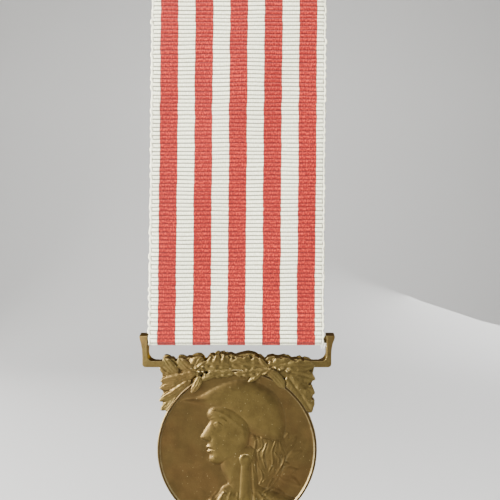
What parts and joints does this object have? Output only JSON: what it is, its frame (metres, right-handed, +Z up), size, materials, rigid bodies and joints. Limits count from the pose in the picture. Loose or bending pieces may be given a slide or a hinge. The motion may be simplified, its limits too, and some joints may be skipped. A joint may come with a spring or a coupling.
{
  "type": "medal",
  "caption": "Round bronze medal with a helmeted head in relief, hung by a leafed crest and two arms from a striped ribbon on a pin brooch.",
  "frame": {"origin": "on the axis of the brooch pin's shank, at the middle of the brooch plate", "axes": "+Z up the hanging ribbon, -Y the way the medal's face looks, +Y towards the wearer, +X along the pin towards its point"},
  "size_m": [0.0406, 0.0062, 0.1217],
  "materials": {
    "medal_bronze": "aged struck bronze, satin with rubbed edges",
    "ribbon_cloth": "ribbed woven ribbon in red and off-white stripes",
    "sewing_thread": "twisted off-white thread",
    "brooch_metal": "dull rolled brass",
    "pin_steel": "drawn nickelled wire"
  },
  "bodies": {
    "brooch": {"brooch_plate": "brooch_metal", "pin_joint": "brooch_metal", "joint_rivet": "brooch_metal", "catch_housing": "brooch_metal", "ribbon_head": "ribbon_cloth", "head_stitches": "sewing_thread", "plate_stitches": "sewing_thread"},
    "pin": {"pin_stem": "pin_steel"},
    "lock": {"catch_lock": "brooch_metal"},
    "ribbon": {"ribbon_drop": "ribbon_cloth"},
    "medal": {"ribbon_bar": "medal_bronze", "left_arm": "medal_bronze", "right_arm": "medal_bronze", "leaf_crest": "medal_bronze", "medal_disc": "medal_bronze"}
  },
  "joints": [
    {"name": "pin_swing", "type": "hinge", "parent": "brooch", "child": "pin", "pos_m": [-0.0105, 0, 0], "axis": [0, 0, 1], "range_deg": [0, 75]},
    {"name": "lock_turn", "type": "hinge", "parent": "brooch", "child": "lock", "pos_m": [0.011, 0, 0], "axis": [1, 0, 0], "range_deg": [0, 110]},
    {"name": "ribbon_swing", "type": "hinge", "parent": "brooch", "child": "ribbon", "pos_m": [0, -0.00325, -0.011], "axis": [1, 0, 0], "range_deg": [-80, 80]},
    {"name": "medal_swing", "type": "hinge", "parent": "ribbon", "child": "medal", "pos_m": [0, -0.00325, -0.07773], "axis": [1, 0, 0], "range_deg": [-110, 110]}
  ]
}
